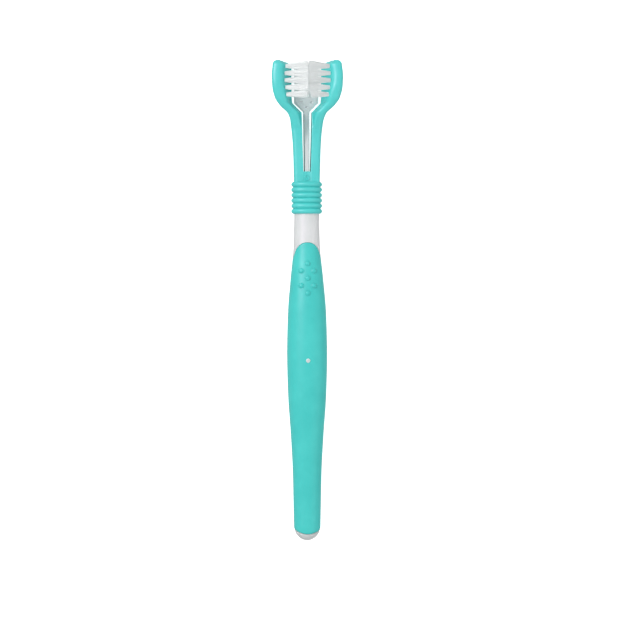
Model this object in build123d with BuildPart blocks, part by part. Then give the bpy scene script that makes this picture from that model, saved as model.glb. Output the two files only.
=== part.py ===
from build123d import *

import os
from math import cos, radians, sin, sqrt, tan

# A three-sided pet toothbrush lying on its back, in millimetres.
# +Y runs from the butt to the head, +Z is the bristle side and X is across.
# The origin is under the middle of the brush, on the surface that it lies on.

os.makedirs("parts", exist_ok=True)

# ---------------------------------------------------------------- handle
butt_y = -90.0
butt_round_y = -84.6
neck_end_y = 32.3
handle_stations = [  # y, width, underside z, top z
    (butt_y, 9.7, 0.2, 8.6),
    (-78.0, 10.2, 0.2, 9.0),
    (-65.0, 10.75, 0.2, 9.8),
    (-50.0, 12.3, 0.2, 11.2),
    (-35.0, 14.3, 0.2, 12.4),
    (-20.0, 15.0, 0.2, 12.9),
    (-5.0, 14.3, 0.2, 12.6),
    (8.0, 12.2, 0.35, 11.4),
    (20.0, 9.95, 0.8, 9.9),
    (neck_end_y, 9.3, 1.2, 9.2),
]
handle_flat = 5.0  # width of the flat underside
belly = 0.45  # height of the widest line, as a share of the section
butt_half_width = 5.0
beyond = 20.0  # clears the widest and the tallest section

grip_skin = 1.6  # thickness of the soft overmould
grip_top_y = 21.6
arch_rise = 5.5
arch_half_width = 4.6
arch_flank_drop = 1.5  # the arch's sides fall this much further on the handle's flanks
grip_end_y = -87.6
grip_end_rise = 2.6
grip_end_half_width = 4.9
panel_width = 6.4  # bare strip of the core on the underside, which the brush lies on
panel_start_y = -74.0
panel_end_y = 6.0

dot_radius = 0.95
dot_rise = 0.6
dot_rows = 5
dot_pitch_x = 2.43
dot_pitch_y = 2.77
dot_top_y = 13.7
pin_radius = 0.8
pin_y = -22.6

# ---------------------------------------------------------------- neck sleeve
rib_count = 6
rib_pitch = 2.0
sleeve_z = 5.2
crest_size = (11.6, 10.0)
groove_size = (10.1, 8.6)
tenon_size = (7.2, 5.6)
tenon_end_y = 46.2
slot_end_y = 48.1
bridge_width = 9.6
bridge_corner = 1.8

# ---------------------------------------------------------------- arms
head_tip_y = 90.0
arm_low_z = 1.2
arm_start_y = 44.0  # the outline of the arms starts here, below the slot
shaft_top_z = 8.6
lip_z = 13.0
lip_profile = [  # y and height of the arm's front edge, from the shaft over the lip
    (64.0, shaft_top_z),
    (71.0, 10.6),
    (76.0, 12.5),
    (80.5, lip_z),
    (88.0, 12.4),
    (95.0, 10.6),
]
lip_inner_x = 9.5
toe_z = 6.3
pocket_top_z = 15.0  # clears the lip
wall_lean = 26.0  # lean of the inner wall from upright, in degrees
outer_taper = 9.0
hinge_x = 3.15
arm_root_radius = 1.65
hinge_clearance = 0.1
past_tip_y = 95.0  # clears the head's tip
slot_edge = [(1.35, slot_end_y), (1.95, 70.2), (5.45, 73.75), (5.6, past_tip_y)]  # half of the slot
shaft_edge = [(bridge_width / 2, arm_start_y), (5.2, 58.0), (6.3, 68.0)]  # outer edge, up to the head
cup_edge = [(9.3, 72.2), (12.5, 77.0), (13.35, 83.2), (12.8, 88.6)]  # and round the head
tip_edge = [(11.9, 89.65), (10.4, head_tip_y), (8.4, 89.4), (6.7, 88.4)]  # and over the tip
pocket_heel = [(6.6, 71.6, 1.0), (2.4, 68.0, 0.3)]  # x, y and share of the wall's lean, on one side
pocket_creep = 0.5  # the heel moves toward the tip by this share of the wall's lean

# ---------------------------------------------------------------- centre head
stem_edge = [(0.85, tenon_end_y), (1.15, 70.6), (4.5, 73.9)]  # half of the stem and plate
plate_tip_y = 88.8
plate_low_z = 1.2
plate_top_z = 4.0
stem_top = [(70.6, plate_top_z), (58.0, 7.2), (tenon_end_y, 8.1)]  # y and height, from the plate down
plate_corner = 2.5
dimple_radius = 0.45
dimple_spots = [(-1.9, 74.2), (1.9, 74.2), (0.0, 72.3)]

# ---------------------------------------------------------------- tufts
row_count = 5
row_pitch = 2.65
first_row_y = 76.7
hole_radius = 0.8
hole_depth = 2.2
tuft_root_radius = 0.78
side_tip_radius = 1.25
side_tuft_z = [8.3, 11.3]  # height of each column's mouth on the wall: lower, upper
side_tip_gap = 0.15
wall_bow = 0.174  # the walls curve in by this much at one row from their widest place
widest_row = 2.4
mouth_clearance = 0.05
centre_tuft_x = [-2.75, 0.0, 2.75]
centre_tuft_height = [4.6, 5.4, 4.6]
centre_tip_radius = 1.1
anchor_size = (1.5, 0.3, 1.2)
anchor_low = 0.3 - hole_depth  # height of its foot from the hole's mouth: just off the hole's floor


def save(piece, name):
    """Labels a finished piece and writes its own file."""
    piece.part.label = name
    export_step(piece.part, f"parts/{name}.step")


def across(y):
    """The plane across the brush at y, with X to the right and Z up."""
    return Plane.XZ.offset(-y)


def handle_section(y, width, low, high, inset=0.0):
    """A D-shaped section: an elliptical top on rounded flanks and a flat underside."""
    middle = low + belly * (high - low)
    half = width / 2 - inset
    flat = handle_flat / 2 - inset / 2
    base = low + inset
    crown = high - inset
    with BuildSketch(across(y), mode=Mode.PRIVATE) as section:
        with BuildLine():
            Line((-flat, base), (flat, base))
            EllipticalCenterArc((flat, middle), half - flat, middle - base, 270, arc_size=90)
            EllipticalCenterArc((0, middle), half, crown - middle, 0, arc_size=180)
            EllipticalCenterArc((-flat, middle), half - flat, middle - base, 180, arc_size=90)
        make_face()
    return section.sketch.face()


def top_of_handle(x, y):
    """Height of the handle's top surface, taken straight between its stations."""
    for start, end in zip(handle_stations, handle_stations[1:]):
        if start[0] <= y <= end[0]:
            share = (y - start[0]) / (end[0] - start[0])
            width, low, high = (a + share * (b - a) for a, b in zip(start[1:], end[1:]))
            middle = low + belly * (high - low)
            return middle + (high - middle) * sqrt(1 - (2 * x / width) ** 2)
    raise ValueError("y is off the handle")


def ellipse_loft(stations):
    """Straight-sided loft through ellipses, each given by its y, width and height."""
    faces = []
    for y, width, height in stations:
        with BuildSketch(across(y), mode=Mode.PRIVATE) as ring:
            with Locations((0, sleeve_z)):
                Ellipse(width / 2, height / 2)
        faces.append(ring.sketch.face())
    loft(faces, ruled=True)


# The handle's whole outer shape, which the core and the grip divide between them.
with BuildPart() as handle_shape:
    loft([handle_section(*station) for station in handle_stations])
    with BuildSketch(Plane.XY):
        with Locations((0, (butt_round_y + neck_end_y) / 2)):
            Rectangle(beyond, neck_end_y - butt_round_y)
        with Locations((0, butt_round_y)):
            Ellipse(butt_half_width, butt_round_y - butt_y)
    extrude(amount=beyond, mode=Mode.INTERSECT)

with BuildPart() as handle_inside:
    loft([handle_section(*station, inset=grip_skin) for station in handle_stations])

with BuildPart() as back_panel:
    with BuildSketch(Plane.XY):
        with Locations((0, (panel_start_y + panel_end_y) / 2)):
            SlotOverall(panel_end_y - panel_start_y, panel_width, rotation=90)
    extrude(amount=sleeve_z)

with BuildPart() as locating_pin:
    with BuildSketch(Plane.XY.offset(sleeve_z)):
        with Locations((0, pin_y)):
            Circle(pin_radius)
    extrude(amount=beyond)

# Soft overmould: a skin over the front and sides, with an arched top and a rounded lower end.
with BuildPart() as grip_skin_shape:
    add(handle_shape.part)
    with BuildSketch(Plane.XY):
        with BuildLine():
            foot_y = grip_top_y - arch_rise
            flank_y = foot_y - arch_flank_drop
            shoulder_y = grip_end_y + grip_end_rise
            arch = EllipticalCenterArc((0, foot_y), arch_half_width, arch_rise, 0, arc_size=180)
            end = EllipticalCenterArc(
                (0, shoulder_y), grip_end_half_width, grip_end_rise, 180, arc_size=180
            )
            Polyline(arch @ 1, (-beyond, flank_y), (-beyond, shoulder_y), end @ 0)
            Polyline(end @ 1, (beyond, shoulder_y), (beyond, flank_y), arch @ 0)
        make_face()
    extrude(amount=beyond, mode=Mode.INTERSECT)
    add(handle_inside.part, mode=Mode.SUBTRACT)
    add(back_panel.part, mode=Mode.SUBTRACT)
    add(locating_pin.part, mode=Mode.SUBTRACT)

with BuildPart() as handle_grip:
    add(grip_skin_shape.part)
    for row in range(dot_rows):
        columns = [0] if row % 2 == 0 else [-dot_pitch_x, dot_pitch_x]
        dot_y = dot_top_y - row * dot_pitch_y
        for x in columns:
            with Locations((x, dot_y, top_of_handle(x, dot_y) + dot_rise - dot_radius)):
                Sphere(dot_radius)
    add(handle_inside.part, mode=Mode.SUBTRACT)
save(handle_grip, "handle_grip")

# Stem and centre plate: a spade outline that gets thinner towards the tip.
with BuildPart() as centre_head:
    with BuildSketch(Plane.XY):
        with BuildLine():
            edge = Polyline(*stem_edge, (stem_edge[-1][0], plate_tip_y))
            Line(edge @ 1, (0, plate_tip_y))
            mirror(about=Plane.YZ)
            Line((-stem_edge[0][0], tenon_end_y), (stem_edge[0][0], tenon_end_y))
        spade = make_face()
        fillet(spade.vertices().group_by(Axis.Y)[-1], plate_corner)
    extrude(amount=beyond)
    with BuildSketch(Plane.YZ):
        with BuildLine():
            Polyline(
                (tenon_end_y, plate_low_z),
                (head_tip_y, plate_low_z),
                (head_tip_y, plate_top_z),
                *stem_top,
                close=True,
            )
        make_face()
    extrude(amount=beyond, both=True, mode=Mode.INTERSECT)

centre_planes = [
    [Plane((x, first_row_y + row * row_pitch, plate_top_z), x_dir=(0, 1, 0)) for x in centre_tuft_x]
    for row in range(row_count)
]

# Clear core: everything of the handle that the grip leaves, and on through the sleeve to the centre plate.
with BuildPart() as handle_core:
    add(handle_shape.part)
    add(grip_skin_shape.part, mode=Mode.SUBTRACT)
    add(back_panel.part)
    with BuildSketch(across(neck_end_y)):
        with Locations((0, sleeve_z)):
            Ellipse(tenon_size[0] / 2, tenon_size[1] / 2)
    extrude(amount=-(tenon_end_y - neck_end_y))
    add(centre_head.part)
    with Locations(*[plane.location for row in centre_planes for plane in row]):
        Hole(hole_radius, depth=hole_depth)
    with Locations(*[(x, y, plate_top_z) for x, y in dimple_spots]):
        Sphere(dimple_radius, mode=Mode.SUBTRACT)
save(handle_core, "handle_core")

# Ribbed sleeve round the neck, with a short bridge that carries the two arms.
rib_stations = [(neck_end_y, *groove_size)]
for rib in range(rib_count):
    rib_y = neck_end_y + rib * rib_pitch
    rib_stations.append((rib_y + rib_pitch / 2, *crest_size))
    rib_stations.append((rib_y + rib_pitch, *groove_size))
collar_end_y = rib_stations[-1][0]

with BuildPart() as neck_sleeve:
    ellipse_loft(rib_stations)
    with BuildSketch(across(collar_end_y)):
        with Locations((0, (arm_low_z + shaft_top_z) / 2)):
            RectangleRounded(bridge_width, shaft_top_z - arm_low_z, bridge_corner)
    extrude(amount=-(slot_end_y - collar_end_y))
    with BuildSketch(across(neck_end_y)):
        with Locations((0, sleeve_z)):
            Ellipse(tenon_size[0] / 2, tenon_size[1] / 2)
    extrude(amount=-(tenon_end_y - neck_end_y), mode=Mode.SUBTRACT)
    add(centre_head.part, mode=Mode.SUBTRACT)
    with Locations((hinge_x, slot_end_y, 0), (-hinge_x, slot_end_y, 0)):
        Cylinder(arm_root_radius + hinge_clearance, 2 * beyond, mode=Mode.SUBTRACT)
save(neck_sleeve, "neck_sleeve")


# ---------------------------------------------------------------- arms
def wall_x(z):
    """How far out the sloping inner wall stands at height z."""
    return lip_inner_x - (lip_z - z) * tan(radians(wall_lean))


def wall_inset(row):
    """How far the curved wall has come in from its widest place, at a row or between rows."""
    return wall_bow * (row - widest_row) ** 2


def side_plane(row, z):
    """The mouth of a right-hand tuft's hole, clear of the curved wall and pointing inward and up."""
    lean = radians(wall_lean)
    reach = hole_radius / row_pitch
    inset = max(wall_inset(row - reach), wall_inset(row + reach)) + mouth_clearance
    flat_wall = Plane(
        origin=(wall_x(z), first_row_y + row * row_pitch, z),
        x_dir=(0, 1, 0),
        z_dir=(-cos(lean), 0, sin(lean)),
    )
    return flat_wall.offset(inset * cos(lean))


side_planes = [[side_plane(row, z) for z in side_tuft_z] for row in range(row_count)]


def pocket_section(z):
    """Outline of the bowl between the two inner walls at height z."""
    shrink = lip_inner_x - wall_x(z)
    wall_rows = [row_count + 0.5 - step for step in range(row_count + 2)]
    wall = [(wall_x(z) - wall_inset(row), first_row_y + row * row_pitch) for row in wall_rows]
    heel = [(x - shrink * lean, y + shrink * pocket_creep) for x, y, lean in pocket_heel]
    right = wall + heel
    left = [(-x, y) for x, y in reversed(right)]
    with BuildSketch(Plane.XY.offset(z), mode=Mode.PRIVATE) as section:
        with BuildLine():
            Polyline(*right, *left, close=True)
        make_face()
    return section.sketch.face()


def bowl_section(z):
    """Outline of the whole head at height z. The cupped end narrows towards the underside."""
    shrink = (lip_z - z) * tan(radians(outer_taper))
    with BuildSketch(Plane.XY.offset(z), mode=Mode.PRIVATE) as section:
        with BuildLine():
            shoulder, top, inner, corner = tip_edge
            side = Spline(*shaft_edge, *[(x - shrink, y) for x, y in cup_edge])
            tip = ThreePointArc(side @ 1, (shoulder[0] - shrink, shoulder[1]), (top[0] - shrink, top[1]))
            ThreePointArc(tip @ 1, (inner[0] - shrink / 2, inner[1]), corner)
            Line(corner, (0, corner[1]))
            mirror(about=Plane.YZ)
            Line((-bridge_width / 2, arm_start_y), (bridge_width / 2, arm_start_y))
        make_face()
    return section.sketch.face()


with BuildPart() as bowl:
    loft([bowl_section(arm_low_z), bowl_section(lip_z)], ruled=True)
    with BuildSketch(Plane.YZ):
        with BuildLine():
            Spline(*lip_profile, tangents=((1, 0), (1, -0.3)))
            Line(lip_profile[-1], (past_tip_y, arm_low_z))
            Line((past_tip_y, arm_low_z), (collar_end_y, arm_low_z))
            Line((collar_end_y, arm_low_z), (collar_end_y, shaft_top_z))
            Line((collar_end_y, shaft_top_z), lip_profile[0])
        make_face()
    extrude(amount=beyond, both=True, mode=Mode.INTERSECT)
    loft([pocket_section(toe_z), pocket_section(pocket_top_z)], ruled=True, mode=Mode.SUBTRACT)

with BuildPart() as right_arm:
    add(bowl.part)
    with BuildSketch(Plane.XY):
        with BuildLine():
            Polyline(*slot_edge, (beyond, past_tip_y), (beyond, slot_end_y), close=True)
        make_face()
    extrude(amount=beyond, mode=Mode.INTERSECT)
    with Locations((hinge_x, slot_end_y, arm_low_z)):
        Cylinder(arm_root_radius, shaft_top_z - arm_low_z, align=(Align.CENTER, Align.CENTER, Align.MIN))
    with Locations(*[plane.location for row in side_planes for plane in row]):
        Hole(hole_radius, depth=hole_depth)
save(right_arm, "right_arm")

with BuildPart() as left_arm:
    mirror(right_arm.part, about=Plane.YZ)
save(left_arm, "left_arm")


# ---------------------------------------------------------------- tufts
def make_tuft(plane, length, tip_radius):
    """A bundle folded round its anchor at the root, which flares from the hole's mouth to its tip."""
    with BuildPart(plane) as tuft:
        Cylinder(tuft_root_radius, hole_depth, align=(Align.CENTER, Align.CENTER, Align.MAX))
        Cone(tuft_root_radius, tip_radius, length, align=(Align.CENTER, Align.CENTER, Align.MIN))
        with Locations((0, 0, anchor_low)):
            Box(*anchor_size, align=(Align.CENTER, Align.CENTER, Align.MIN), mode=Mode.SUBTRACT)
    return tuft


def make_anchors(planes):
    """The flat wire anchors of one head, one in the root of each tuft."""
    with BuildPart() as anchors:
        with Locations(*[plane.location for plane in planes]):
            with Locations((0, 0, anchor_low)):
                Box(*anchor_size, align=(Align.CENTER, Align.CENTER, Align.MIN))
    return anchors


lean = radians(wall_lean)
for row, planes in enumerate(side_planes, start=1):
    for column, plane in zip(("lower", "upper"), planes):
        reach = plane.origin.X - side_tip_gap - side_tip_radius * sin(lean)
        tuft = make_tuft(plane, reach / cos(lean), side_tip_radius)
        save(tuft, f"right_tuft_{column}_{row}")
        with BuildPart() as opposite:
            mirror(tuft.part, about=Plane.YZ)
        save(opposite, f"left_tuft_{column}_{row}")
for row, planes in enumerate(centre_planes, start=1):
    for column, plane, height in zip(("left", "middle", "right"), planes, centre_tuft_height):
        save(make_tuft(plane, height, centre_tip_radius), f"centre_tuft_{column}_{row}")

save(make_anchors([plane for row in centre_planes for plane in row]), "centre_tuft_anchors")
right_anchors = make_anchors([plane for row in side_planes for plane in row])
save(right_anchors, "right_tuft_anchors")
with BuildPart() as left_anchors:
    mirror(right_anchors.part, about=Plane.YZ)
save(left_anchors, "left_tuft_anchors")
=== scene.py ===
import math
import random

import bmesh
import bpy
import numpy as np
from mathutils import Matrix, Vector


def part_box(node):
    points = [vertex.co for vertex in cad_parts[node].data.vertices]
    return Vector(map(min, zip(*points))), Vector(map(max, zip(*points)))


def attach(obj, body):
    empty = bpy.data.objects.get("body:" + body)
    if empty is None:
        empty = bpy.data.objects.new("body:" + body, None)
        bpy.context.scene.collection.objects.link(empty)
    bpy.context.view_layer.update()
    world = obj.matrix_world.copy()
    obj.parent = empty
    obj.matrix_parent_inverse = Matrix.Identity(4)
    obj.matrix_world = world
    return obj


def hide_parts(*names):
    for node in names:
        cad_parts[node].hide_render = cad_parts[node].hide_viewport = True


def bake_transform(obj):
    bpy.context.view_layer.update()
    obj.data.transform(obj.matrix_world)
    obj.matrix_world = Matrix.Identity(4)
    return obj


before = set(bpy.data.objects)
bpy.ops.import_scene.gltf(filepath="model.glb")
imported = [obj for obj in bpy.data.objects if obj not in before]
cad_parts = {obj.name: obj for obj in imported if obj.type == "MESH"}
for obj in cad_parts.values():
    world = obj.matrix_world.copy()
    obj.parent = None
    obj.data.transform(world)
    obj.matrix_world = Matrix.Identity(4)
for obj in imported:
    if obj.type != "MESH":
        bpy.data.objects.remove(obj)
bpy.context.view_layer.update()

# Shapes are worked out in millimetres and turned into metres when a mesh is made.
# Lights, the camera and the scales in materials are in metres.
MM = 0.001


# ---------------------------------------------------------------- places read from the frame
def box_mm(node):
    """Lowest and highest corner of a CAD node, in millimetres."""
    low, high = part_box(node)
    return low / MM, high / MM


core_low, core_high = box_mm("handle_core")
grip_low, grip_high = box_mm("handle_grip")
sleeve_low, sleeve_high = box_mm("neck_sleeve")
arm_low, arm_high = box_mm("right_arm")

butt_y = core_low.y
plate_tip_y = core_high.y
neck_end_y = sleeve_low.y
head_tip_y = arm_high.y
lip_z = arm_high.z
arm_low_z = arm_low.z
lip_out_x = arm_high.x

# ---------------------------------------------------------------- handle
handle_stations = [  # y, half width, underside z, top z
    (butt_y, 4.85, 0.2, 8.6),
    (-78.0, 5.1, 0.2, 9.0),
    (-65.0, 5.37, 0.2, 9.8),
    (-50.0, 6.15, 0.2, 11.2),
    (-35.0, 7.15, 0.2, 12.4),
    (-20.0, 7.5, 0.2, 12.9),
    (-5.0, 7.15, 0.2, 12.6),
    (8.0, 6.1, 0.35, 11.4),
    (20.0, 4.97, 0.8, 9.9),
    (neck_end_y, 4.65, 1.2, 9.2),
]
belly = 0.45
top_fullness = 2.25
under_fullness = 3.2
grip_skin = 1.6
arch_rise = 5.5
arch_fullness = 2.3
arch_half_width = 4.6
arch_flank_drop = 1.5
end_rise = 2.4
butt_round = 5.4
butt_flatness = 0.7  # below 1, the front and the underside close in later than the sides
flank_share = 0.985  # the arch's curve is followed out to this share of its half width
end_reach = 0.97  # and the curve of the lower edge to this share
grip_top_y = grip_high.y
grip_end_y = grip_low.y
dot_pitch_x = 2.43
dot_pitch_y = 2.77
dot_top_y = 13.7
dot_rows = 5
dot_radius = 0.85
dot_rise = 0.56
pin_y = -22.6

# ---------------------------------------------------------------- sleeve
rib_count = 6
rib_pitch = 2.0
sleeve_z = (sleeve_low.z + sleeve_high.z) / 2
crest = ((sleeve_high.x - sleeve_low.x) / 2, (sleeve_high.z - sleeve_low.z) / 2)
groove = (crest[0] - 0.78, crest[1] - 0.72)
tenon = (3.6, 2.8)
tenon_end_y = 46.2
bore_gap = 0.1
bore = (tenon[0] + bore_gap, tenon[1] + bore_gap)
bore_inset = 0.01  # the bore stops this far inside the collar's ends
collar_fullness = 2.35
rib_roundness = 0.75  # below 1, the crests are broad and the grooves narrow
mark_y = 45.75  # a small raised ring on the bridge, with a pit in it
mark_radius = 0.92
mark_wire = 0.16
mark_sink = 0.04
collar_end_y = neck_end_y + rib_count * rib_pitch

# ---------------------------------------------------------------- arms
slot_end_y = 48.1
shaft_top_z = 8.6
toe_z = 6.3
wall_lean = math.radians(26)
arm_start_y = collar_end_y - 0.6  # the bridge starts a little way inside the collar
pits = [(mark_y, 0.34), (47.55, 0.24)]  # y and radius of the two pits on the middle line


def smooth_curve(points):
    """A smooth line through (position, value) points that never swings past them."""
    at = np.array([p[0] for p in points], float)
    value = np.array([p[1] for p in points], float)
    gap = np.diff(at)
    slope = np.diff(value) / gap
    tangent = np.zeros(len(at))
    tangent[0] = slope[0]
    tangent[-1] = slope[-1]
    for i in range(1, len(at) - 1):
        if slope[i - 1] * slope[i] > 0:
            a = 2 * gap[i] + gap[i - 1]
            b = gap[i] + 2 * gap[i - 1]
            tangent[i] = (a + b) / (a / slope[i - 1] + b / slope[i])

    def read(x):
        x = np.clip(x, at[0], at[-1])
        i = np.clip(np.searchsorted(at, x) - 1, 0, len(gap) - 1)
        t = (x - at[i]) / gap[i]
        keep = 2 * t**3 - 3 * t**2 + 1
        lead = (t**3 - 2 * t**2 + t) * gap[i]
        tail = (t**3 - t**2) * gap[i]
        return keep * value[i] + lead * tangent[i] + (1 - keep) * value[i + 1] + tail * tangent[i + 1]

    return read


# ---------------------------------------------------------------- meshes
weld_gap = 0.0005
crease_degrees = 35  # edges sharper than this stay sharp after a weld or a cut
bend_spread = 0.2  # extra rows stand this far each side of a bend
same_row = 0.001  # an even row closer than this to an extra one is left out


def make_mesh(name, vertices, faces, sharp_degrees=40):
    """A smooth-shaded mesh object from millimetres, sharp only where it turns by more than the angle."""
    mesh = bpy.data.meshes.new(name)
    mesh.from_pydata([tuple(c * MM for c in v) for v in vertices], [], faces)
    mesh.validate()
    mesh.shade_smooth()
    mesh.set_sharp_from_angle(angle=math.radians(sharp_degrees))
    obj = bpy.data.objects.new(name, mesh)
    bpy.context.scene.collection.objects.link(obj)
    return obj


def tube_faces(ring_count, size, start=0, closed=False, caps=True):
    """Quads between rings of `size` points, with end caps or joined back to the first ring."""
    faces = []
    last = ring_count if closed else ring_count - 1
    for i in range(last):
        a = start + i * size
        b = start + ((i + 1) % ring_count) * size
        for j in range(size):
            k = (j + 1) % size
            faces.append((a + j, a + k, b + k, b + j))
    if caps and not closed:
        faces.append(tuple(start + j for j in reversed(range(size))))
        faces.append(tuple(start + (ring_count - 1) * size + j for j in range(size)))
    return faces


def skin(name, rings, closed=False, caps=True, sharp_degrees=40):
    """One mesh through a list of rings with the same number of points."""
    vertices = [p for ring in rings for p in ring]
    faces = tube_faces(len(rings), len(rings[0]), 0, closed, caps)
    return make_mesh(name, vertices, faces, sharp_degrees)


def rows_with_bends(start, end, count, bends):
    """Even rows from start to end, with three extra ones at each bend."""
    extra = [bend + step for bend in bends for step in (-bend_spread, 0, bend_spread)]
    even = [y for y in np.linspace(start, end, count) if min(abs(y - e) for e in extra) > same_row]
    return sorted(even + extra)


def face_outward(obj):
    """Turns every closed shell's faces outward."""
    bm = bmesh.new()
    bm.from_mesh(obj.data)
    bmesh.ops.recalc_face_normals(bm, faces=bm.faces)
    bm.to_mesh(obj.data)
    bm.free()
    return obj


def weld(obj):
    """Merges points that lie in the same place."""
    bm = bmesh.new()
    bm.from_mesh(obj.data)
    bmesh.ops.remove_doubles(bm, verts=bm.verts, dist=weld_gap * MM)
    bm.to_mesh(obj.data)
    bm.free()
    obj.data.set_sharp_from_angle(angle=math.radians(crease_degrees))
    return obj


def join(name, objects):
    """Joins pieces of one moulding into one object."""
    with bpy.context.temp_override(active_object=objects[0], selected_editable_objects=objects):
        bpy.ops.object.join()
    objects[0].name = name
    objects[0].data.name = name
    return objects[0]


def cut_pit(obj, centre, radius):
    """Cuts a small round pit into a closed mesh."""
    turns = 20
    steps = 10
    rings = []
    for a in np.linspace(-math.pi / 2 + 0.05, math.pi / 2 - 0.05, steps):
        rings.append([
            (
                centre[0] + radius * math.cos(a) * math.cos(2 * math.pi * j / turns),
                centre[1] + radius * math.cos(a) * math.sin(2 * math.pi * j / turns),
                centre[2] + radius * math.sin(a),
            )
            for j in range(turns)
        ])
    ball = face_outward(skin("ball", rings))
    face_outward(obj)
    cut = obj.modifiers.new("pit", "BOOLEAN")
    cut.operation = "DIFFERENCE"
    cut.solver = "EXACT"
    cut.object = ball
    with bpy.context.temp_override(object=obj, active_object=obj, selected_objects=[obj]):
        bpy.ops.object.modifier_apply(modifier="pit")
    obj.data.set_sharp_from_angle(angle=math.radians(crease_degrees))
    bpy.data.objects.remove(ball)


# ---------------------------------------------------------------- handle surface
half_width = smooth_curve([(s[0], s[1]) for s in handle_stations])
underside = smooth_curve([(s[0], s[2]) for s in handle_stations])
top_line = smooth_curve([(s[0], s[3]) for s in handle_stations])
ring_size = 128
ring_angles = [2 * math.pi * (j + 0.5) / ring_size for j in range(ring_size)]


def signed_power(value, power):
    return math.copysign(abs(value) ** power, value)


def handle_point(y, angle, inset=0.0):
    """A point on the handle's D-shaped section, or that far inside it."""
    half = half_width(y) - inset
    low = underside(y) + inset
    high = top_line(y) - inset
    middle = low + belly * (high - low)
    shrink = math.sqrt(max(0.0, 1 - (max(0.0, butt_y + butt_round - y) / butt_round) ** 2))
    fullness = top_fullness if math.sin(angle) > 0 else under_fullness
    height = high - middle if math.sin(angle) > 0 else middle - low
    x = half * shrink * signed_power(math.cos(angle), 2 / fullness)
    z = middle + height * shrink**butt_flatness * signed_power(math.sin(angle), 2 / fullness)
    return (x, y, z)


def arch_y(angle):
    """The grip's top edge: an arch over the front that runs on down the flanks."""
    x = abs(half_width(grip_top_y) * signed_power(math.cos(angle), 2 / top_fullness))
    share = min(flank_share, x / arch_half_width)
    flank = max(0.0, x - arch_half_width) / (half_width(grip_top_y) - arch_half_width)
    if math.sin(angle) < 0:
        share = flank_share
        flank = 1.0
    arch = (1 - share**arch_fullness) ** (1 / arch_fullness)
    return grip_top_y - arch_rise * (1 - arch) - arch_flank_drop * flank


def level_y(level, angle):
    """Where a row of points lies along the handle.

    Level 0 is the butt, 1 the grip's lower edge, 2 its arched top edge and 3 the sleeve.
    """
    across = abs(signed_power(math.cos(angle), 2 / top_fullness))
    end = grip_end_y + end_rise * (1 - math.sqrt(1 - (end_reach * across) ** 2))
    marks = (butt_y, end, arch_y(angle), neck_end_y)
    low = min(int(level), 2)
    return marks[low] + (marks[low + 1] - marks[low]) * (level - low)


def handle_ring(level, inset=0.0, shift=0.0):
    return [handle_point(level_y(level, a) + shift, a, inset) for a in ring_angles]


def top_of_handle(x, y):
    """Height of the handle's top surface."""
    low = underside(y)
    high = top_line(y)
    middle = low + belly * (high - low)
    return middle + (high - middle) * (1 - abs(x / half_width(y)) ** top_fullness) ** (1 / top_fullness)


def top_normal(x, y):
    """Direction straight out of the handle's top surface."""
    step = 0.05
    slope_x = (top_of_handle(x + step, y) - top_of_handle(x - step, y)) / (2 * step)
    slope_y = (top_of_handle(x, y + step) - top_of_handle(x, y - step)) / (2 * step)
    return Vector((-slope_x, -slope_y, 1)).normalized()


def dome(name, x, y, profile, segments=32):
    """A small round boss on the handle's top, turned from (radius, height) points."""
    normal = top_normal(x, y)
    turn = normal.to_track_quat("Z", "Y")
    foot = Vector((x, y, top_of_handle(x, y)))
    angles = [2 * math.pi * j / segments for j in range(segments)]
    rings = []
    for radius, height in profile:
        circle = [Vector((radius * math.cos(a), radius * math.sin(a), height)) for a in angles]
        rings.append([foot + turn @ point for point in circle])
    return skin(name, rings, sharp_degrees=60)


# ---------------------------------------------------------------- grip
def make_grip():
    """The soft overmould: a shell with rolled edges, and seven raised dots below its arch."""
    edge = [(0.0, 0.5), (0.1, 0.2), (0.28, 0.06), (0.55, 0.0)]  # run-in from the edge, inset
    rings = [handle_ring(2, inset, -run) for run, inset in edge]
    rings += [handle_ring(level) for level in np.linspace(1.992, 1.008, 190)]
    rings += [handle_ring(1, inset, run) for run, inset in reversed(edge)]
    rings += [handle_ring(level, grip_skin) for level in np.linspace(1, 2, 40)]
    shell = skin("grip", rings, closed=True)
    foot = 0.1
    bead = [(dot_radius + 0.4, -0.12), (dot_radius + 0.15, 0.02), (dot_radius + 0.03, 0.08)]
    for a in np.linspace(0.12, 1.52, 9):
        bead.append((dot_radius * math.cos(a), foot + (dot_rise - foot) * math.sin(a)))
    dots = []
    for row in range(dot_rows):
        columns = [0.0] if row % 2 == 0 else [-dot_pitch_x, dot_pitch_x]
        for x in columns:
            dots.append(dome("dot", x, dot_top_y - row * dot_pitch_y, bead))
    return face_outward(join("grip", [shell, *dots]))


# ---------------------------------------------------------------- clear core
end_groove_depth = 0.28  # a shallow groove round the butt, just below the grip's edge
end_groove_level = 0.9
end_groove_spread = 0.05
core_gap = 0.03  # between the core and the inside of the grip
plate_half = 4.5
plate_corner = 2.5
# Half width of the stem and the plate at each y, up to where the plate's round corners begin.
stem_half = [(45.0, 0.85), (70.6, 1.15), (73.9, plate_half), (86.3, plate_half)]
stem_top = smooth_curve([(45.0, 8.15), (58.0, 7.2), (70.6, 4.0), (95.0, 4.0)])
plate_top = stem_top(plate_tip_y)
dimple_radius = 0.45
dimple_spots = [(-1.9, 74.2), (1.9, 74.2), (0.0, 72.3)]
strip_start_y = -74.0
strip_end_y = 6.0
strip_half = 3.2
strip_edge = [(0.5, 0.0), (0.2, 0.04), (0.05, 0.14), (0.0, 0.3), (0.0, 1.2)]  # inset and height
pin_profile = [(0.8, -1.0), (0.8, 0.0), (0.72, 0.07), (0.4, 0.1), (0.1, 0.11)]  # radius and height


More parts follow.
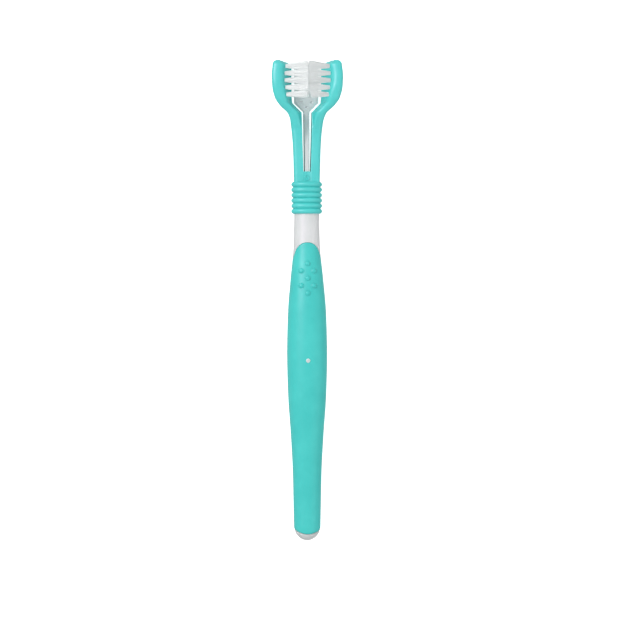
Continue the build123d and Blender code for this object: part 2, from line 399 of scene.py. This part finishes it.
def rounded_section(y, half, low, high, fullness=9.0, size=72):
    """A rounded rectangle across the brush at y."""
    middle = (low + high) / 2
    height = (high - low) / 2
    ring = []
    for j in range(size):
        a = 2 * math.pi * (j + 0.5) / size
        x = half * signed_power(math.cos(a), 2 / fullness)
        ring.append((x, y, middle + height * signed_power(math.sin(a), 2 / fullness)))
    return ring


def make_handle():
    """Butt, core of the handle, clear neck and the tenon in the sleeve."""
    rings = []
    for level in 1 - np.cos(np.linspace(0.04, math.pi / 2, 60)):
        from_groove = (level - end_groove_level) / end_groove_spread
        rings.append(handle_ring(level, end_groove_depth * math.exp(-(from_groove**2))))
    rings += [handle_ring(level, grip_skin + core_gap) for level in np.linspace(1, 2, 30)]
    rings += [handle_ring(level) for level in np.linspace(2, 3, 24)]
    for y in (neck_end_y, tenon_end_y):
        rings.append([
            (tenon[0] * math.cos(a), y, sleeve_z + tenon[1] * math.sin(a)) for a in ring_angles
        ])
    return skin("handle", rings)


def make_head():
    """The stem and the spade-shaped centre plate, with three dimples."""
    rings = []
    for y in rows_with_bends(stem_half[0][0], stem_half[-1][0], 60, [stem_half[1][0], stem_half[2][0]]):
        half = np.interp(y, *zip(*stem_half))
        rings.append(rounded_section(y, half, arm_low_z, stem_top(y)))
    for a in np.linspace(0.1, math.pi / 2 - 0.02, 12):
        half = plate_half - plate_corner * (1 - math.cos(a))
        y = plate_tip_y - plate_corner * (1 - math.sin(a))
        rings.append(rounded_section(y, half, arm_low_z, plate_top))
    head = skin("head", rings)
    for x, y in dimple_spots:
        cut_pit(head, (x, y, plate_top), dimple_radius)
    return head


def make_strip():
    """The bare strip on the underside, with round ends and a rolled edge."""
    outline = []
    for centre, start in ((strip_end_y - strip_half, 0.0), (strip_start_y + strip_half, math.pi)):
        for a in np.linspace(start, start + math.pi, 24):
            outline.append((math.cos(a), centre + strip_half * math.sin(a), math.sin(a)))
    rings = []
    for inset, z in strip_edge:
        rings.append([(x * (strip_half - inset), y - slope * inset, z) for x, y, slope in outline])
    return skin("strip", rings)


def make_core():
    """The whole clear moulding, with the pin that shows on the front of the grip."""
    pin = dome("pin", 0.0, pin_y, pin_profile)
    return face_outward(join("clear_core", [make_handle(), make_head(), make_strip(), pin]))


# ---------------------------------------------------------------- sleeve
def make_collar():
    """The ribbed collar on the neck, a shell with a bore for the core."""
    steps_per_rib = 14
    size = 96
    rings = []
    for i in range(rib_count * steps_per_rib + 1):
        share = i / steps_per_rib
        swell = abs(math.sin(math.pi * share)) ** rib_roundness
        y = neck_end_y + share * rib_pitch
        half = groove[0] + (crest[0] - groove[0]) * swell
        height = groove[1] + (crest[1] - groove[1]) * swell
        rings.append(rounded_section(y, half, sleeve_z - height, sleeve_z + height, collar_fullness, size))
    for y in (collar_end_y - bore_inset, neck_end_y + bore_inset):
        rings.append(rounded_section(y, bore[0], sleeve_z - bore[1], sleeve_z + bore[1], 2.0, size))
    return skin("sleeve", rings, closed=True, sharp_degrees=75)


def make_mark():
    """A small raised ring on the bridge."""
    rings = []
    for a in np.linspace(0, 2 * math.pi, 33)[:-1]:
        ring = []
        for b in np.linspace(0, 2 * math.pi, 13)[:-1]:
            reach = mark_radius + mark_wire * math.cos(b)
            z = shaft_top_z - mark_sink + mark_wire * math.sin(b)
            ring.append((reach * math.cos(a), mark_y + reach * math.sin(a), z))
        rings.append(ring)
    return skin("mark", rings, closed=True)


def make_sleeve():
    """The collar, with the ring that stands on the bridge beyond it."""
    return face_outward(join("sleeve", [make_collar(), make_mark()]))


# ---------------------------------------------------------------- arms
# Measures of an arm's section at each y. The lip is the top of its wall, and the toe is the ledge
# beside the slot. The base stands `lean_in` inside the lip.
outer_x = smooth_curve([
    (arm_start_y, 4.8), (56, 5.15), (66.5, 6.1), (69.7, 7.15), (72.7, 10.2),
    (75.7, 12.2), (80, 13.2), (84, lip_out_x), (88, 13.0),
])
lip_height = smooth_curve([
    (64, shaft_top_z), (71, 10.6), (76, 12.5), (80.5, lip_z), (88, 12.4), (90, 12.0),
])
toe_height = smooth_curve([(64.5, shaft_top_z), (67.5, 8.1), (71, 6.9), (74, toe_z)])
lip_share = smooth_curve([  # the lip's inner edge, as a share of the arm's width
    (65, 0.2), (70, 0.29), (76.7, 0.36), (79.35, 0.45),
    (82, 0.505), (84.6, 0.505), (87.3, 0.46), (89, 0.44),
])
lean_in = smooth_curve([(66, 0.25), (77, 1.87)])
ledge = smooth_curve([(64, 0.3), (76.7, 0.35), (83, 0.73), (88, 0.5)])
# Half width of the slot between the arms at each y, and the same with the rounded tip added.
slot_x = [(slot_end_y, 1.35), (59.0, 1.7), (70.2, 1.93), (73.8, 5.4), (75.7, 5.6), (87.4, 5.6)]
arm_tip_y = head_tip_y - 0.3
tip_slot_x = slot_x + [(88.1, 5.7), (88.6, 6.6), (89.0, 7.5), (89.35, 8.5), (arm_tip_y, 9.3)]
tip_x = 11.2  # the blunt end of the arm runs out to here
slot_round = 0.3  # radii of the section's corners, round from the slot
base_round = 1.3
lip_outer_round = 2.3
lip_inner_round = 1.6
toe_round = 0.7
toe_fall = 0.1  # the ledge slopes down this far to the slot
tip_round = 1.8
tip_lift = 2.2  # the underside rises this far towards the tip
tip_drop = 1.4  # and the lip comes down this far


def rounded_corners(corners, steps=7, between=3):
    """Points round a polygon of (x, z, radius), each corner a smooth bend and each side a few points."""
    count = len(corners)
    tangents = []
    for i, (x, z, radius) in enumerate(corners):
        here = Vector((x, z))
        before = Vector(corners[i - 1][:2]) - here
        after = Vector(corners[(i + 1) % count][:2]) - here
        reach = min(radius, 0.48 * before.length, 0.48 * after.length)
        tangents.append((here + before.normalized() * reach, here, here + after.normalized() * reach))
    points = []
    for i, (start, corner, end) in enumerate(tangents):
        for t in np.linspace(0, 1, steps):
            points.append(start * (1 - t) ** 2 + corner * 2 * t * (1 - t) + end * t**2)
        following = tangents[(i + 1) % count][0]
        for t in np.linspace(0, 1, between + 2)[1:-1]:
            points.append(end.lerp(following, t))
    return points


def arm_section(y, inner, joined=False):
    """The arm across the brush at y: a plain bar in the shaft, a leaning cupped wall in the head.

    Where the arms are joined, the section reaches the middle of the brush.
    """
    outer = outer_x(y)
    low = arm_low_z
    lip = lip_height(y)
    past = max(0.0, (y - (arm_tip_y - tip_round)) / tip_round)
    curl = 1 - math.sqrt(max(0.0, 1 - past**2))
    outer = outer - (outer - tip_x) * curl
    low += tip_lift * curl
    lip -= tip_drop * curl
    width = outer - inner
    toe = toe_height(y)
    foot = inner + min(ledge(y), 0.3 * width)
    inner_round = 0.0 if joined else slot_round
    corners = [
        (inner, low, inner_round),
        (max(outer - lean_in(y), inner + 0.4 * width), low, base_round),
        (outer, lip, lip_outer_round),
        (inner + lip_share(y) * width, lip, lip_inner_round),
        (foot, toe, toe_round),
        (inner, toe - toe_fall, inner_round),
    ]
    points = rounded_corners(corners)
    stretch = width / (max(p.x for p in points) - inner)
    section = [(inner + (p.x - inner) * stretch, y, p.y) for p in points]
    if joined:
        section = [(x if x > inner + 0.001 else 0.0, y, z) for x, y, z in section]
    return section


def inner_x(y):
    """The slot side of the arm."""
    return float(np.interp(y, *zip(*tip_slot_x)))


def make_arm(side):
    """One arm. Below the slot the two arms fill the bridge, each up to the middle."""
    rings = [arm_section(y, slot_x[0][1], joined=True) for y in np.linspace(arm_start_y, slot_end_y, 8)]
    rows = rows_with_bends(slot_end_y, arm_tip_y - tip_round, 110, [slot_x[2][0], slot_x[3][0]])
    rings += [arm_section(y, inner_x(y)) for y in rows]
    for a in np.linspace(0, math.pi / 2, 18)[1:-1]:
        y = arm_tip_y - tip_round + tip_round * math.sin(a)
        rings.append(arm_section(y, inner_x(y)))
    if side < 0:
        rings = [[(-x, y, z) for x, y, z in ring] for ring in rings]
    name = "arm_left" if side < 0 else "arm_right"
    arm = weld(skin(name, rings))
    for y, radius in pits:
        cut_pit(arm, (0.0, y, shaft_top_z), radius)
    return face_outward(arm)


# ---------------------------------------------------------------- bristles
tuft_rows = 5
filament_radius = 0.085
filaments_per_tuft = 96
filament_sides = 5
filament_profile = [  # share of the length, share of the thickness
    (0.2, 1.0), (0.38, 1.0), (0.58, 1.0), (0.8, 0.95), (0.95, 0.8), (1.0, 0.4),
]
hole_depth = 2.2
bundle_radius = 0.76
tuft_splay = 1.12  # width at the tips, as a share of the CAD tuft's
meeting_x = 0.35  # the left-hand and right-hand tufts meet a little to the right of the middle
meeting_gap = 0.1
first_row_short = 0.3
last_row_fan = 0.6


def tuft_line(node, direction):
    """Middles of a CAD tuft's root and tip faces and the tip's radius, in millimetres."""
    flat = 0.001
    points = np.array([v.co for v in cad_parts[node].data.vertices]) / MM
    along = points @ np.array(direction)
    root_face = points[along < along.min() + flat]
    tip_face = points[along > along.max() - flat]
    tip = Vector(tip_face.mean(0))
    reach = tip_face - np.array(tip)
    return Vector(root_face.mean(0)), tip, float(np.linalg.norm(reach, axis=1).max())


def packed_spots(count):
    """Even places in a unit disc, in a sunflower pattern."""
    golden = math.pi * (3 - math.sqrt(5))
    return [(math.sqrt((i + 0.5) / count), i * golden) for i in range(count)]


def make_tuft(name, node, direction, seed, fan=0.0, short=0.0):
    """A bundle of tapering filaments, packed in its hole and splayed beyond it, each a little out of line.

    The side tufts are trimmed where they meet in the middle, or `short` millimetres before it. `fan`
    spreads a tuft further towards the tip of the brush.
    """
    draw = random.Random(seed)
    root, tip, tip_radius = tuft_line(node, direction)
    axis = (tip - root).normalized()
    along = Vector((0, 1, 0))
    side = axis.cross(along).normalized()
    length = (tip - root).length
    root_radius = bundle_radius - filament_radius
    splay = tip_radius * tuft_splay - filament_radius - root_radius
    vertices = []
    faces = []
    for share_out, angle in packed_spots(filaments_per_tuft):
        angle += draw.uniform(-0.25, 0.25)
        across = share_out * math.cos(angle)
        upward = share_out * math.sin(angle)
        drift = side * draw.gauss(0, 0.10) + along * draw.gauss(0, 0.12)
        end = root + axis * length + (side * across + along * upward) * (root_radius + splay)
        reach = length * (1 + draw.uniform(-0.03, 0.01))
        if abs(axis.x) > 0.1:
            stop = math.copysign(meeting_gap + short + abs(draw.gauss(0, 0.09 + short)), axis.x)
            reach = length + (meeting_x - stop - end.x) / axis.x
        first = len(vertices)
        for s, thick in filament_profile:
            past_mouth = max(0.0, (s * length - hole_depth) / (length - hole_depth))
            spread = root_radius + splay * (1 - (1 - past_mouth) ** 1.5)
            lift = upward * spread + fan * max(0.0, upward + 0.2) * past_mouth
            centre = root + axis * reach * s + side * across * spread + along * lift
            centre += drift * past_mouth**2
            for j in range(filament_sides):
                a = 2 * math.pi * j / filament_sides
                ring = side * math.cos(a) + along * math.sin(a)
                vertices.append(centre + ring * thick * filament_radius)
        faces += tube_faces(len(filament_profile), filament_sides, first)
    tuft = face_outward(make_mesh(name, vertices, faces, sharp_degrees=80))
    tuft.visible_shadow = False  # nylon this fine lets the light through to its neighbours
    return tuft


# ---------------------------------------------------------------- materials
def new_material(name):
    """A node material and its shader."""
    material = bpy.data.materials.new(name)
    material.use_nodes = True
    return material, material.node_tree, material.node_tree.nodes["Principled BSDF"]


def noise(tree, scale, detail=4.0, roughness=0.55, stretch=(1, 1, 1)):
    """Noise in object space, so that it stays with the piece."""
    place = tree.nodes.new("ShaderNodeTexCoord")
    mapping = tree.nodes.new("ShaderNodeMapping")
    mapping.inputs["Scale"].default_value = stretch
    texture = tree.nodes.new("ShaderNodeTexNoise")
    texture.inputs["Scale"].default_value = scale
    texture.inputs["Detail"].default_value = detail
    texture.inputs["Roughness"].default_value = roughness
    tree.links.new(place.outputs["Object"], mapping.inputs["Vector"])
    tree.links.new(mapping.outputs["Vector"], texture.inputs["Vector"])
    return texture.outputs["Fac"]


def ramp(tree, source, stops):
    """A colour ramp of (position, colour) stops."""
    node = tree.nodes.new("ShaderNodeValToRGB")
    while len(node.color_ramp.elements) < len(stops):
        node.color_ramp.elements.new(0.5)
    for element, (position, colour) in zip(node.color_ramp.elements, stops):
        element.position = position
        element.color = (*colour, 1)
    tree.links.new(source, node.inputs["Fac"])
    return node.outputs["Color"]


def bump(tree, shader, source, strength, distance, under=None):
    """A bump layer on the shader's normal."""
    node = tree.nodes.new("ShaderNodeBump")
    node.inputs["Strength"].default_value = strength
    node.inputs["Distance"].default_value = distance
    tree.links.new(source, node.inputs["Height"])
    if under is not None:
        tree.links.new(under, node.inputs["Normal"])
    tree.links.new(node.outputs["Normal"], shader.inputs["Normal"])
    return node.outputs["Normal"]


def elastomer(name, deep, light, roughness, shine):
    """Satin soft-touch elastomer: faint clouding, a fine moulded grain and an uneven sheen."""
    material, tree, shader = new_material(name)
    cloud = noise(tree, 120, 3)
    colour = ramp(tree, cloud, [(0.3, deep), (0.7, light)])
    tree.links.new(colour, shader.inputs["Base Color"])
    patch = noise(tree, 260, 5)
    gloss = ramp(tree, patch, [(0.3, (roughness - 0.05,) * 3), (0.72, (roughness + 0.05,) * 3)])
    tree.links.new(gloss, shader.inputs["Roughness"])
    grain = bump(tree, shader, noise(tree, 5200, 2), 0.12, 0.00006)
    bump(tree, shader, noise(tree, 320, 2), 0.10, 0.00025, grain)
    shader.inputs["Specular IOR Level"].default_value = shine
    shader.inputs["Subsurface Weight"].default_value = 0.12
    shader.inputs["Subsurface Radius"].default_value = (0.4, 1.0, 1.0)
    shader.inputs["Subsurface Scale"].default_value = 0.0012
    return material


def clear_plastic():
    """Clear moulded plastic, slightly milky, with faint flow lines along the brush."""
    material, tree, shader = new_material("clear_plastic")
    flow = noise(tree, 300, 3, stretch=(1, 0.12, 1))
    colour = ramp(tree, flow, [(0.3, (0.88, 0.91, 0.91)), (0.7, (0.94, 0.955, 0.955))])
    tree.links.new(colour, shader.inputs["Base Color"])
    haze = ramp(tree, noise(tree, 500, 4), [(0.3, (0.34,) * 3), (0.7, (0.44,) * 3)])
    tree.links.new(haze, shader.inputs["Roughness"])
    bump(tree, shader, flow, 0.08, 0.0002)
    shader.inputs["IOR"].default_value = 1.47
    shader.inputs["Transmission Weight"].default_value = 0.36
    return material


def bristle_nylon():
    """Soft white nylon filaments, a little translucent, not all the same white."""
    material, tree, shader = new_material("bristle_nylon")
    tint = noise(tree, 2400, 2)
    colour = ramp(tree, tint, [(0.3, (0.88, 0.93, 0.925)), (0.7, (0.94, 0.965, 0.96))])
    tree.links.new(colour, shader.inputs["Base Color"])
    gloss = ramp(tree, noise(tree, 3000, 2), [(0.3, (0.28,) * 3), (0.7, (0.42,) * 3)])
    tree.links.new(gloss, shader.inputs["Roughness"])
    shader.inputs["Subsurface Weight"].default_value = 1.0
    shader.inputs["Subsurface Radius"].default_value = (1, 1, 1)
    shader.inputs["Subsurface Scale"].default_value = 0.0006
    shader.inputs["Specular IOR Level"].default_value = 0.45
    return material


def anchor_wire():
    """Flat nickel-silver wire with drawing marks."""
    material, tree, shader = new_material("anchor_wire")
    marks = noise(tree, 3000, 3, stretch=(1, 0.1, 1))
    colour = ramp(tree, marks, [(0.3, (0.55, 0.53, 0.47)), (0.7, (0.72, 0.70, 0.64))])
    tree.links.new(colour, shader.inputs["Base Color"])
    gloss = ramp(tree, marks, [(0.3, (0.25,) * 3), (0.7, (0.4,) * 3)])
    tree.links.new(gloss, shader.inputs["Roughness"])
    shader.inputs["Metallic"].default_value = 1.0
    return material


def floor_paper():
    """Plain white studio paper that glows enough to stay white round the brush."""
    material, tree, shader = new_material("floor_paper")
    colour = ramp(tree, noise(tree, 40, 3), [(0.3, (0.93, 0.93, 0.93)), (0.7, (0.96, 0.96, 0.96))])
    tree.links.new(colour, shader.inputs["Base Color"])
    shader.inputs["Roughness"].default_value = 0.85
    shader.inputs["Emission Color"].default_value = (1, 1, 1, 1)
    shader.inputs["Emission Strength"].default_value = 0.85
    return material


def finish_piece(obj, material, nodes, body=None):
    """Gives the piece its material, hides the CAD nodes it stands in for and hangs it on the body that it
    rides on.
    """
    obj.data.materials.clear()
    obj.data.materials.append(material)
    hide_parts(*nodes)
    if body:
        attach(obj, body)
    return obj


# ---------------------------------------------------------------- the brush
teal = elastomer("teal_elastomer", (0.052, 0.565, 0.535), (0.066, 0.615, 0.58), 0.41, 0.34)
light_teal = elastomer("light_teal_elastomer", (0.07, 0.60, 0.58), (0.09, 0.65, 0.63), 0.38, 0.5)
clear = clear_plastic()
nylon = bristle_nylon()
wire = anchor_wire()

finish_piece(make_grip(), teal, ["handle_grip"], "handle")
finish_piece(make_core(), clear, ["handle_core"], "handle")
finish_piece(make_sleeve(), light_teal, ["neck_sleeve"], "handle")

for side, body in ((-1, "left_arm"), (1, "right_arm")):
    arm = finish_piece(make_arm(side), light_teal, [body])
    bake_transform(arm)

seed = 100
for row in range(1, tuft_rows + 1):
    for column in ("lower", "upper"):
        for side, word in ((-1, "left"), (1, "right")):
            node = f"{word}_tuft_{column}_{row}"
            direction = (-side * math.cos(wall_lean), 0.0, math.sin(wall_lean))
            fan = last_row_fan if row == tuft_rows else 0.0
            short = first_row_short if row == 1 else 0.0
            tuft = make_tuft(f"bristles_{word}_{column}_{row}", node, direction, seed, fan, short)
            finish_piece(tuft, nylon, [node], f"{word}_arm")
            seed += 1
    for column in ("left", "middle", "right"):
        node = f"centre_tuft_{column}_{row}"
        tuft = make_tuft(f"bristles_centre_{column}_{row}", node, (0.0, 0.0, 1.0), seed)
        finish_piece(tuft, nylon, [node], "handle")
        seed += 1
for word in ("left", "right", "centre"):
    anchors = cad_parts[f"{word}_tuft_anchors"]
    anchors.data.materials.clear()
    anchors.data.materials.append(wire)


# ---------------------------------------------------------------- studio
def make_floor():
    """A wide sheet of paper that the brush lies on."""
    reach = 900.0
    count = 13
    floor_z = -0.01
    steps = np.linspace(-reach, reach, count)
    vertices = [(x, y, floor_z) for y in steps for x in steps]
    faces = []
    for i in range(count - 1):
        for j in range(count - 1):
            a = i * count + j
            faces.append((a, a + 1, a + count + 1, a + count))
    floor = make_mesh("floor", vertices, faces)
    floor.data.materials.append(floor_paper())
    floor.visible_diffuse = False
    floor.visible_glossy = False
    floor.visible_transmission = False


def area_light(name, place, size, power, colour=(1, 1, 1)):
    """A square soft box that looks at the middle of the brush."""
    data = bpy.data.lights.new(name, "AREA")
    data.size = size
    data.energy = power
    data.color = colour
    light = bpy.data.objects.new(name, data)
    light.location = place
    light.rotation_euler = (-Vector(place)).to_track_quat("-Z", "Y").to_euler()
    bpy.context.scene.collection.objects.link(light)
    return light


def make_camera():
    """A long lens straight above the brush, leaning a little to the left, with the head at the top."""
    lean = math.radians(3.2)
    roll = math.radians(-0.12)
    aim = Vector((1.1, -3.7, 6.0)) * MM
    distance = 1.6
    field = 0.2321
    data = bpy.data.cameras.new("camera")
    data.sensor_width = 36
    data.lens = data.sensor_width * distance / field
    camera = bpy.data.objects.new("camera", data)
    back = Vector((-math.sin(lean), 0, math.cos(lean)))
    up = Vector((-math.sin(roll), math.cos(roll), 0))
    right = up.cross(back).normalized()
    up = back.cross(right)
    turn = Matrix((right, up, back)).transposed()
    camera.matrix_world = Matrix.Translation(aim + back * distance) @ turn.to_4x4()
    data.clip_start = 0.05
    data.clip_end = 20
    bpy.context.scene.collection.objects.link(camera)
    bpy.context.scene.camera = camera


def make_world():
    """Soft light from all round, brightest near the horizon and weakest from below."""
    world = bpy.data.worlds.new("studio")
    world.use_nodes = True
    tree = world.node_tree
    place = tree.nodes.new("ShaderNodeTexCoord")
    split = tree.nodes.new("ShaderNodeSeparateXYZ")
    tree.links.new(place.outputs["Generated"], split.inputs["Vector"])
    shade = ramp(tree, split.outputs["Z"], [(0.0, (0.66,) * 3), (0.06, (1.0,) * 3), (0.35, (0.8,) * 3)])
    background = tree.nodes["Background"]
    tree.links.new(shade, background.inputs["Color"])
    background.inputs["Strength"].default_value = 0.85
    bpy.context.scene.world = world


make_floor()
make_world()
# The key stands high on the left, towards the head. The sheen light adds to highlights only.
area_light("key", (-0.75, 0.55, 0.82), 0.5, 7.0)
area_light("fill", (0.75, -0.3, 0.75), 1.0, 2.0)
sheen = area_light("sheen", (-0.5, 0.45, 0.95), 0.55, 7.0, (1.0, 0.65, 1.0))
sheen.visible_diffuse = False
bpy.context.scene.view_settings.view_transform = "Standard"
make_camera()
